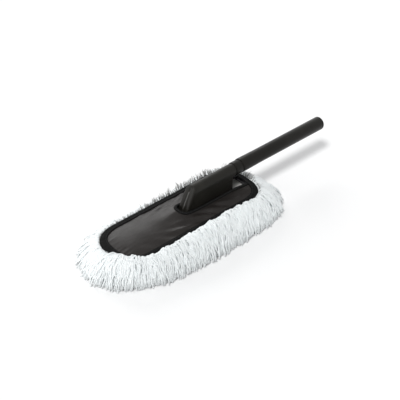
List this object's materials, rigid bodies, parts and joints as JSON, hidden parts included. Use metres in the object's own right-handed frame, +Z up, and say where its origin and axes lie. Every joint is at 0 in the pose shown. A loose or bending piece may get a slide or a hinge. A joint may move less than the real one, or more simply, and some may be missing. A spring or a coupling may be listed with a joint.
{
  "type": "car duster",
  "caption": "Car duster: an oval mop head of white cotton yarn under a dark cloth cover, on a slanted neck with a telescopic handle that locks by a twist.",
  "frame": {"origin": "on the floor under the middle of the whole duster, handle pushed in", "axes": "+X along the handle from the mop head's front towards the grip's end, +Z up, and left in a piece's name is +Y"},
  "size_m": [0.6035, 0.224, 0.1046],
  "materials": {
    "cover_nylon": "dark grey woven nylon with a slight sheen",
    "backing_cotton": "plain unbleached cotton",
    "binding_tape": "black matte binding tape",
    "yarn_cotton": "white twisted cotton yarn",
    "frame_plastic": "black moulded plastic",
    "neck_plastic": "black moulded plastic with a fine grain",
    "handle_plastic": "black matte plastic",
    "tube_aluminium": "drawn aluminium tube",
    "lock_plastic": "natural grey plastic",
    "screw_steel": "zinc-plated steel"
  },
  "bodies": {
    "root": {"cover_cloth": "cover_nylon", "backing_cloth": "backing_cotton", "rim_binding": "binding_tape", "slot_binding": "binding_tape", "fringe_front_left": "yarn_cotton", "fringe_front_right": "yarn_cotton", "fringe_rear_left": "yarn_cotton", "fringe_rear_right": "yarn_cotton", "fringe_side_left": "yarn_cotton", "fringe_side_right": "yarn_cotton", "pile_under": "yarn_cotton", "frame_plate": "frame_plastic", "neck_left": "neck_plastic", "neck_right": "neck_plastic", "neck_screw_front": "screw_steel", "neck_screw_middle": "screw_steel", "neck_screw_rear": "screw_steel", "inner_tube": "tube_aluminium", "tube_pin": "screw_steel", "lock_plug": "lock_plastic", "stop_nut": "screw_steel"},
    "lock": {"lock_sleeve": "lock_plastic"},
    "wedge": {"lock_wedge": "lock_plastic"},
    "handle": {"handle_tube": "handle_plastic", "guide_bush": "handle_plastic", "end_cap": "handle_plastic"}
  },
  "joints": [
    {"name": "handle_twist", "type": "hinge", "parent": "root", "child": "lock", "pos_m": [0, 0, 0.09], "axis": [1, 0, 0], "range_deg": [0, 270]},
    {"name": "wedge_travel", "type": "slide", "parent": "lock", "child": "wedge", "axis": [1, 0, 0], "range_m": [0, 0.00225]},
    {"name": "handle_slide", "type": "slide", "parent": "lock", "child": "handle", "axis": [1, 0, 0], "range_m": [0, 0.14]}
  ],
  "couplings": [
    {"joint": "wedge_travel", "follows": "handle_twist", "m_per_rad": 0.00047746}
  ]
}
